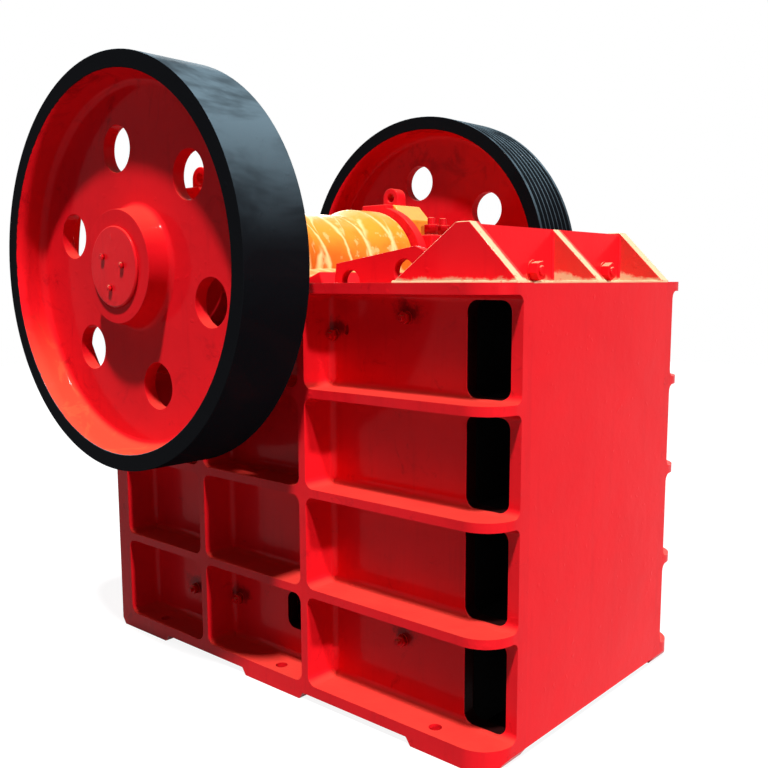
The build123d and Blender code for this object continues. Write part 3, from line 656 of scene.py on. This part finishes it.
def dress(names, material, radius, edges=None):
    """Gives CAD nodes their paint and rounds their outer edges."""
    for name in names:
        piece = frame["nodes"][name]
        piece.data.materials.clear()
        piece.data.materials.append(material)
        soften(piece, radius, edges)


def flat_levels(name):
    """Heights of a node's level end faces."""
    mesh = frame["nodes"][name].data
    return sorted({round(face.center.z, 3) for face in mesh.polygons if abs(face.normal.z) > 0.999})


def nut_tree(material):
    """Hexagon nuts with a washer and a stud end, one on each point, along local Z."""
    sizes = {"Across flats": 0.06, "Height": 0.045, "Stud radius": 0.02, "Stud end": 0.03,
             "Washer": 0.008, "Seed": 3}
    tree = ShapeTree("nut_and_stud", sizes)
    flats, height, stud_r, stud_end, washer, seed = tree.sizes

    def raised(kind, lift, **named):
        shape = tree.node(kind, {}, **named)
        return tree.node("GeometryNodeTransform", {}, shape, Translation=tree.join(0.0, 0.0, lift))

    corner = flats * (0.5 / cos(pi / 6))
    hexagon = raised("GeometryNodeMeshCylinder", washer + height * 0.5, Vertices=6, Radius=corner,
                     Depth=height)
    # The cone cuts the hexagon's top corners to a chamfer
    trim = raised("GeometryNodeMeshCone", washer, Vertices=24, Radius_Top=flats * 0.04,
                  Radius_Bottom=flats * 1.38, Depth=height * 2.0)
    body = tree.tree.nodes.new("GeometryNodeMeshBoolean")
    body.operation = "INTERSECT"
    for shape in (hexagon, trim):
        tree.tree.links.new(shape.socket, body.inputs[1])
    disc = raised("GeometryNodeMeshCylinder", washer * 0.5, Vertices=32, Radius=flats * 0.62,
                  Depth=washer)
    reach = height + stud_end
    stud = raised("GeometryNodeMeshCylinder", washer + reach * 0.5, Vertices=24, Radius=stud_r,
                  Depth=reach)
    tip = raised("GeometryNodeMeshCone", washer + reach, Vertices=24, Radius_Top=stud_r * 0.8,
                 Radius_Bottom=stud_r, Depth=stud_r * 0.2)
    whole = tree.gather((Wire(tree, body.outputs[0]), disc, stud, tip))
    # The sockets left empty belong to the node's other data types
    turn = tree.node("FunctionNodeRandomValue", {"data_type": "FLOAT"}, None, None, 0.0, pi / 3, None,
                     None, None, None, seed, out=1)
    placed = tree.node("GeometryNodeInstanceOnPoints", {}, tree.geometry, Instance=whole,
                       Rotation=tree.join(0.0, 0.0, turn))
    real = tree.node("GeometryNodeRealizeInstances", {}, placed)
    return tree.close(tree.node("GeometryNodeSetMaterial", {}, real, Material=material))


def bead_tree(material):
    """Weld beads along the given edges, with the ripples and lumps of a hand-laid seam."""
    tree = ShapeTree("weld_bead", {"Bead": 0.008, "Ripple": 0.009, "Seed": 5})
    bead, ripple, seed = tree.sizes
    path = tree.node("GeometryNodeMeshToCurve", {}, tree.geometry)
    path = tree.node("GeometryNodeResampleCurve", {"mode": "LENGTH"}, path, Length=ripple * 0.5)
    along = tree.node("GeometryNodeSplineParameter", {}, out="Length")
    wave = tree.math("SINE", along / ripple * (2 * pi))
    lump = tree.node("ShaderNodeTexNoise", {"noise_dimensions": "4D"}, W=seed, Scale=22.0, Detail=2.0)
    swell = bead * (0.55 + 0.07 * wave + 0.9 * lump)
    ring = tree.node("GeometryNodeCurvePrimitiveCircle", {}, Resolution=10, Radius=1.0)
    tube = tree.node("GeometryNodeCurveToMesh", {}, path, Profile_Curve=ring, Scale=swell,
                     Fill_Caps=True)
    real = tree.node("GeometryNodeRealizeInstances", {}, tube)
    return tree.close(tree.node("GeometryNodeSetMaterial", {}, real, Material=material))


def run_tree(name, base, tree, values, turn=Matrix.Identity(4)):
    """Runs a tree on a base mesh and returns the result as a plain piece, turned into place."""
    holder = bpy.data.objects.new(name + "_base", base)
    bpy.context.scene.collection.objects.link(holder)
    run = holder.modifiers.new("make", "NODES")
    run.node_group = tree
    items = tree.interface.items_tree
    sockets = {item.name: item.identifier for item in items if item.in_out == "INPUT"}
    for key, value in values.items():
        run[sockets[key]] = value
    bpy.context.view_layer.update()
    ready = holder.evaluated_get(bpy.context.evaluated_depsgraph_get())
    mesh = bpy.data.meshes.new_from_object(ready)
    bpy.data.objects.remove(holder)
    mesh.transform(turn)
    piece = bpy.data.objects.new(name, mesh)
    bpy.context.scene.collection.objects.link(piece)
    return piece


def fasteners(name, places, axis, body, material, values):
    """Nuts or bolts at the given places, standing out along axis."""
    turn = Vector((0.0, 0.0, 1.0)).rotation_difference(Vector(axis)).to_matrix().to_4x4()
    back = turn.inverted()
    base = bpy.data.meshes.new(name + "_spots")
    base.from_pydata([back @ Vector(place) for place in places], [], [])
    piece = run_tree(name, base, nut_tree(material), values, turn)
    rounding = 0.025
    soften(piece, values["Across flats"] * rounding, segments=2)
    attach(piece, body)


def red_nuts(name, places, axis, body, values):
    """Nuts or bolts in the castings' own red."""
    fasteners(name, places, axis, body, need("nut_red"), values)


def nut_values(flats, height, stud_radius, stud_end, washer):
    return {"Across flats": flats, "Height": height, "Stud radius": stud_radius, "Stud end": stud_end,
            "Washer": washer}


def background_rays(graph):
    """1 for the rays that show the background: the camera's, and those in gloss and glass."""
    path = graph.tree.nodes.new("ShaderNodeLightPath")
    seen = graph.larger(Wire(graph, path.outputs["Is Camera Ray"]),
                        Wire(graph, path.outputs["Is Glossy Ray"]))
    return graph.larger(seen, Wire(graph, path.outputs["Is Transmission Ray"]))


MADE = {}


def need(key):
    """A material or tree that the paint operator made."""
    if key not in MADE:
        raise RuntimeError(key + " is not there yet; paint the castings first")
    return MADE[key]


# Operators

class CRUSHER_OT_paint(bpy.types.Operator):
    """Give every casting and steel part its finish and its rounded edges"""

    bl_idname = "crusher.paint"
    bl_label = "Paint castings"

    def execute(self, context):
        settings = context.scene.crusher_paint
        MADE["smooth"] = smooth_tree()
        MADE["open_edges"] = edge_tree("open_edges")
        MADE["red"] = frame_red(settings)
        MADE["seam_red"] = topside_red("seam_red_enamel", settings)
        MADE["nut_red"] = nut_red(settings)
        MADE["steel"] = bare_steel("oiled_steel", settings, settings.steel, 0.15, 0.28)
        self.paint_frame(settings)
        self.paint_drive(settings)
        return {"FINISHED"}

    def paint_frame(self, settings):
        root = ("y", SIDE_OUTER)
        top = ("z", FRAME_TOP)
        front = ("x", FRONT_HIGH.x)
        inner = ("y", SIDE_INNER)
        plate_edges = edge_tree("plate_edges", [("z", RAIL_TOP), inner],
                                [(top, root)])
        rib_edges = edge_tree("rib_edges", [root])
        upright_edges = edge_tree("upright_edges",
                                  [root] + [("z", level) for level in flat_levels("upright_ribs_near")])
        rail_edges = edge_tree("rail_edges", [], [(("z", RAIL_TOP), root), (front, inner),
                                                  (("z", RAIL_TOP), front)])
        wall_edges = edge_tree("wall_edges", [("x", FRONT_LOW.x), inner], [])
        foot_edges = edge_tree("foot_edges", [top, ("x", WALL_FACE)])
        edge = settings.edge
        red = MADE["red"]
        for label, _ in SIDES:
            dress(["side_plate_" + label], red, edge, plate_edges)
            dress(["top_flange_" + label, "shelf_ribs_" + label], red, edge * 1.7, rib_edges)
            dress(["upright_ribs_" + label], red, edge, upright_edges)
            dress(["base_rail_" + label], red, edge, rail_edges)
            dress(["gable_" + label], self.dust_and_highlight_enamel("gable_" + label, settings), edge, foot_edges)
            dress(["cheek_plate_" + label, "bearing_seat_" + label, "seal_ring_" + label,
                   "shaft_end_plate_" + label], red, edge)
        dress(["bearing_cap_near", "rear_beam", "rear_wall", "block_ledges", "adjusting_block",
               "jaw_wedge"], red, edge)
        dress(["middle_gusset"], self.dust_and_highlight_enamel("middle_gusset", settings), edge, foot_edges)
        wall = front_wall_red(settings)
        dress(["front_plate", "front_top_plate"], wall, edge, wall_edges)
        dress(["inner_front_wall"], wall, edge, edge_tree("inner_wall_edges", [inner]))
        dress(["front_box_shelves"], cavity_painted_shade(settings), 0.0)

    def dust_and_highlight_enamel(self, name, settings):
        """Enamel of a gable or gusset; only the near gable has no haze, only the far a full strip."""
        low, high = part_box(name)
        haze = 0.0 if high.y < 0 else 0.8
        spread = 2.0 if low.y > 0 else 1.0
        return topside_red(name + "_enamel", settings, haze, (low.y, spread * (high.y - low.y)))

    def paint_drive(self, settings):
        edge = settings.edge
        dress(["flywheel", "belt_pulley"], wheel_enamel(settings), 0.002)
        dress(["bearing_cap_far"], cap_two_tone(settings), edge)
        dress(["pitman", "rod_lugs"], jaw_orange(settings), edge)
        dress(["eccentric_shaft", "tension_rod", "spring_washers", "rod_pin", "rod_spring"],
              MADE["steel"], 0.001)
        liner = bare_steel("cast_liner_steel", settings, settings.liner, 0.55, 0.5)
        dress(["fixed_jaw_plate", "moving_jaw_plate", "toggle_plate", "rear_toggle_seat",
               "pitman_toggle_seat", "shim_pack"], liner, 0.003)


class CRUSHER_OT_cap_nuts(bpy.types.Operator):
    """Put four studs with nuts on the lugs of each bearing cap"""

    bl_idname = "crusher.cap_nuts"
    bl_label = "Bearing cap nuts"

    def execute(self, context):
        sizes = context.scene.crusher_fasteners
        values = nut_values(sizes.cap_nut, sizes.cap_nut_height, stud_radius=sizes.cap_nut * 0.31,
                            stud_end=sizes.cap_stud, washer=0.004)
        for label, side in SIDES:
            places = [(SHAFT.x + run, side * reach, SHAFT.z + LUG_RISE) for run in CAP_STUD_RUNS
                      for reach in CAP_STUD_REACHES]
            red_nuts("cap_nuts_" + label, places, (0, 0, 1), "frame", values)
        return {"FINISHED"}


class CRUSHER_OT_wall_nuts(bpy.types.Operator):
    """Put the nuts that hold the fixed jaw plate on the raised front wall"""

    bl_idname = "crusher.wall_nuts"
    bl_label = "Front wall nuts"

    def execute(self, context):
        sizes = context.scene.crusher_fasteners
        values = nut_values(sizes.wall_nut, sizes.wall_nut_height, stud_radius=sizes.wall_nut * 0.30,
                            stud_end=0.003, washer=0.004)
        places = [(WALL_FACE, reach, FRAME_TOP + WALL_NUT_RISE) for reach in WALL_NUT_REACHES]
        red_nuts("front_wall_nuts", places, (1, 0, 0), "frame", values)
        return {"FINISHED"}


class CRUSHER_OT_end_bolts(bpy.types.Operator):
    """Put three bolts in the end plate at each end of the shaft"""

    bl_idname = "crusher.end_bolts"
    bl_label = "Shaft end bolts"

    def execute(self, context):
        sizes = context.scene.crusher_fasteners
        values = nut_values(sizes.end_bolt, sizes.end_bolt_height, stud_radius=sizes.end_bolt * 0.3,
                            stud_end=0.0, washer=0.0005)
        for label, side in SIDES:
            places = [(SHAFT.x + run, -side * END_LOW.y, SHAFT.z + rise)
                      for run, rise in END_BOLT_SPOTS]
            red_nuts("end_bolts_" + label, places, (0, side, 0), "rotor", values)
        return {"FINISHED"}


class CRUSHER_OT_liner_nuts(bpy.types.Operator):
    """Put the painted-over nuts of the cheek liners in the pockets of both side walls"""

    bl_idname = "crusher.liner_nuts"
    bl_label = "Liner nuts"

    def execute(self, context):
        sizes = context.scene.crusher_fasteners
        values = nut_values(sizes.liner_nut, sizes.liner_nut_height, stud_radius=sizes.liner_nut * 0.28,
                            stud_end=0.012, washer=0.003)
        for label, side in SIDES:
            places = [(x, side * SIDE_OUTER, z) for x, z in LINER_SPOTS]
            red_nuts("liner_nuts_" + label, places, (0, side, 0), "frame", values)
        return {"FINISHED"}


class CRUSHER_OT_weld_seams(bpy.types.Operator):
    """Lay the weld seams along the feet of the gables, the gusset and the raised wall"""

    bl_idname = "crusher.weld_seams"
    bl_label = "Weld seams"

    def execute(self, context):
        sizes = context.scene.crusher_seams
        toe = GUSSET_HIGH.x - 0.004
        gusset_tip = GUSSET_HIGH.z - 0.01
        gable_tip = GABLE_HIGH.z - 0.02
        wall = WALL_FACE
        top = FRAME_TOP
        runs = []
        for _, side in SIDES:
            rib = side * GUSSET_HIGH.y
            inner = side * SIDE_INNER
            outer = side * SIDE_OUTER
            runs += [((wall, rib, top), (toe, rib, top)), ((wall, inner, top), (toe, inner, top)),
                     ((wall, rib, top), (wall, inner, top)),
                     ((wall, rib, top), (wall, rib, gusset_tip)),
                     ((wall, inner, top), (wall, inner, gable_tip)),
                     ((GABLE_LOW.x, outer, top), (toe, outer, top))]
        places = [end for run in runs for end in run]
        base = bpy.data.meshes.new("seam_lines")
        base.from_pydata(places, [(2 * k, 2 * k + 1) for k in range(len(runs))], [])
        values = {"Bead": sizes.bead, "Ripple": sizes.ripple}
        piece = run_tree("weld_seams", base, bead_tree(need("seam_red")), values)
        for face in piece.data.polygons:
            face.use_smooth = True
        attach(piece, "frame")
        return {"FINISHED"}


class CRUSHER_OT_spring(bpy.types.Operator):
    """Wind the coil spring of the tension rod between its two washers"""

    bl_idname = "crusher.spring"
    bl_label = "Coil spring"

    def execute(self, context):
        spring = context.scene.crusher_spring
        points = self.coil(spring)
        line = bpy.data.curves.new("coil_spring", "CURVE")
        line.dimensions = "3D"
        line.bevel_depth = spring.wire / 2
        line.bevel_resolution = 3
        line.use_fill_caps = True
        run = line.splines.new("POLY")
        run.points.add(len(points) - 1)
        for point, place in zip(run.points, points):
            point.co = (*place, 1.0)
        holder = bpy.data.objects.new("coil_line", line)
        context.scene.collection.objects.link(holder)
        context.view_layer.update()
        mesh = bpy.data.meshes.new_from_object(holder.evaluated_get(context.evaluated_depsgraph_get()))
        bpy.data.objects.remove(holder)
        piece = bpy.data.objects.new("coil_spring", mesh)
        context.scene.collection.objects.link(piece)
        piece.data.materials.clear()
        piece.data.materials.append(need("steel"))
        soften(piece, 0.0)
        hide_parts("rod_spring")
        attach(piece, "frame")
        return {"FINISHED"}

    def coil(self, spring):
        """Points along the wire, with its first and last turns wound close, as ground ends are."""
        steps_per_turn = 32
        steps = spring.turns * steps_per_turn
        closed_turns = 0.12
        closed_run = 0.8 * spring.wire
        start = SPRING_LOW.x + spring.wire / 2
        live_run = SPRING_HIGH.x - SPRING_LOW.x - spring.wire - 2 * closed_run
        centre = (SPRING_LOW + SPRING_HIGH) / 2
        coil_r = (SPRING_HIGH.z - SPRING_LOW.z - spring.wire) / 2
        points = []
        for k in range(steps + 1):
            done = k / steps
            live = min(max((done - closed_turns) / (1 - 2 * closed_turns), 0.0), 1.0)
            closed = min(done, closed_turns) + max(done - 1 + closed_turns, 0.0)
            angle = 2 * pi * spring.turns * done
            points.append((start + live * live_run + closed / closed_turns * closed_run,
                           centre.y + coil_r * cos(angle), centre.z + coil_r * sin(angle)))
        return points


class CRUSHER_OT_rod_nuts(bpy.types.Operator):
    """Lock the tension rod's tail with two nuts behind the spring"""

    bl_idname = "crusher.rod_nuts"
    bl_label = "Rod nuts"

    def execute(self, context):
        sizes = context.scene.crusher_fasteners
        middle = (SPRING_LOW + SPRING_HIGH) / 2
        height = 0.024
        washer = 0.001
        pitch = height + 2 * washer
        values = nut_values(sizes.rod_nut, height, stud_radius=sizes.rod_nut * 0.33, stud_end=0.0,
                            washer=washer)
        places = [(WASHER_BACK - k * pitch, middle.y, middle.z) for k in range(2)]
        fasteners("rod_nuts", places, (-1, 0, 0), "frame", need("steel"), values)
        return {"FINISHED"}


class CRUSHER_OT_studio(bpy.types.Operator):
    """Set the floor, the sky, the lamps and the camera"""

    bl_idname = "crusher.studio"
    bl_label = "Studio"

    def execute(self, context):
        settings = context.scene.crusher_studio
        scene = context.scene
        scene.view_settings.view_transform = "Standard"
        self.sky(scene, settings)
        self.floor(scene, settings)
        self.lamps(scene, settings)
        self.camera(scene, settings)
        return {"FINISHED"}

    def sky(self, scene, settings):
        world = bpy.data.worlds.new("studio_sky")
        scene.world = world
        world.use_nodes = True
        graph = Graph(world.node_tree)
        graph.tree.nodes.clear()
        strength = background_rays(graph) * (1.0 - settings.fill) + settings.fill
        glow = graph.node("ShaderNodeBackground", {}, (1.0, 1.0, 1.0, 1.0), strength)
        end = graph.tree.nodes.new("ShaderNodeOutputWorld")
        graph.tree.links.new(glow.socket, end.inputs[0])

    def floor(self, scene, settings):
        """Pale floor, lifted to white for the camera except under the machine, where it is dark as
        painted shade.
        """
        reach = 14.0
        corners = [(-reach, -reach, 0), (reach, -reach, 0), (reach, reach, 0), (-reach, reach, 0)]
        mesh = bpy.data.meshes.new("floor")
        mesh.from_pydata(corners, [], [(0, 1, 2, 3)])
        floor = bpy.data.objects.new("floor", mesh)
        scene.collection.objects.link(floor)
        ground = Finish("pale_floor")
        half_length, half_width, fade = 0.985, 0.630, 0.030
        clear = ground.larger(ground.step(abs(ground.x), half_length - fade, half_length),
                              ground.step(abs(ground.y), half_width - fade, half_width))
        seen = background_rays(ground)
        grain = ground.noise(3.0, detail=4.0)
        tone = ground.blend(grain * 0.1, settings.floor_pale, settings.floor_grain)
        # Painted shade: under the machine the floor is near-black and gets no glow
        tone = ground.blend(clear, settings.floor_shade, tone)
        matt = ground.node("ShaderNodeBsdfDiffuse", {}, tone)
        glow = ground.node("ShaderNodeEmission", {}, (1.0, 1.0, 1.0, 1.0), clear * settings.glow)
        lifted = ground.node("ShaderNodeAddShader", {}, matt, glow)
        mixed = ground.node("ShaderNodeMixShader", {}, seen, matt, lifted)
        ground.feed(ground.end.inputs[0], mixed)
        mesh.materials.append(ground.material)

    def lamps(self, scene, settings):
        """Suns, each with the way towards it, its width in the sky in degrees and its strength."""
        suns = (("key_sun", (0.23, -0.33, 0.915), 4.0, settings.key),
                ("front_sun", (0.964, -0.028, 0.26), 2.0, settings.front),
                ("back_sun", (-0.72, 0.66, 0.12), 40.0, settings.back))
        for name, way, width, strength in suns:
            lamp = bpy.data.lights.new(name, "SUN")
            lamp.angle = radians(width)
            lamp.energy = strength
            holder = bpy.data.objects.new(name, lamp)
            scene.collection.objects.link(holder)
            holder.rotation_euler = Vector(way).to_track_quat("Z", "Y").to_euler()

    def camera(self, scene, settings):
        lens = bpy.data.cameras.new("photo_camera")
        lens.lens = settings.lens
        lens.sensor_width = 36.0
        lens.shift_x = settings.shift[0]
        lens.shift_y = settings.shift[1]
        camera = bpy.data.objects.new("photo_camera", lens)
        scene.collection.objects.link(camera)
        bearing, dip, roll = settings.azimuth, settings.dip, settings.roll
        forward = Vector((-sin(bearing) * cos(dip), cos(bearing) * cos(dip), -sin(dip)))
        level = Vector((cos(bearing), sin(bearing), 0.0))
        right = level * cos(roll) + level.cross(forward) * sin(roll)
        upward = right.cross(forward)
        turn = Matrix((right, upward, -forward)).transposed().to_4x4()
        camera.matrix_world = Matrix.Translation(settings.place) @ turn
        scene.camera = camera


OPERATORS = (CRUSHER_OT_paint, CRUSHER_OT_cap_nuts, CRUSHER_OT_wall_nuts, CRUSHER_OT_end_bolts,
             CRUSHER_OT_liner_nuts, CRUSHER_OT_weld_seams, CRUSHER_OT_spring, CRUSHER_OT_rod_nuts,
             CRUSHER_OT_studio)
GROUPS = {"crusher_paint": PaintSettings, "crusher_fasteners": FastenerSettings,
          "crusher_seams": SeamSettings, "crusher_spring": SpringSettings,
          "crusher_studio": StudioSettings}


class CRUSHER_PT_dress(bpy.types.Panel):
    """Lists what dresses the crusher"""

    bl_idname = "CRUSHER_PT_dress"
    bl_label = "Jaw crusher"
    bl_space_type = "VIEW_3D"
    bl_region_type = "UI"
    bl_category = "Crusher"

    def draw(self, context):
        for group in GROUPS:
            settings = getattr(context.scene, group)
            box = self.layout.box()
            for key in settings.__annotations__:
                box.prop(settings, key)
        for operator in OPERATORS:
            self.layout.operator(operator.bl_idname)


def register():
    for name, group in GROUPS.items():
        bpy.utils.register_class(group)
        setattr(bpy.types.Scene, name, PointerProperty(type=group))
    for operator in OPERATORS:
        bpy.utils.register_class(operator)
    bpy.utils.register_class(CRUSHER_PT_dress)


def unregister():
    bpy.utils.unregister_class(CRUSHER_PT_dress)
    for operator in reversed(OPERATORS):
        bpy.utils.unregister_class(operator)
    for name, group in reversed(GROUPS.items()):
        delattr(bpy.types.Scene, name)
        bpy.utils.unregister_class(group)


def main():
    register()
    for operator in OPERATORS:
        group, name = operator.bl_idname.split(".")
        getattr(getattr(bpy.ops, group), name)()


if __name__ == "__main__":
    main()
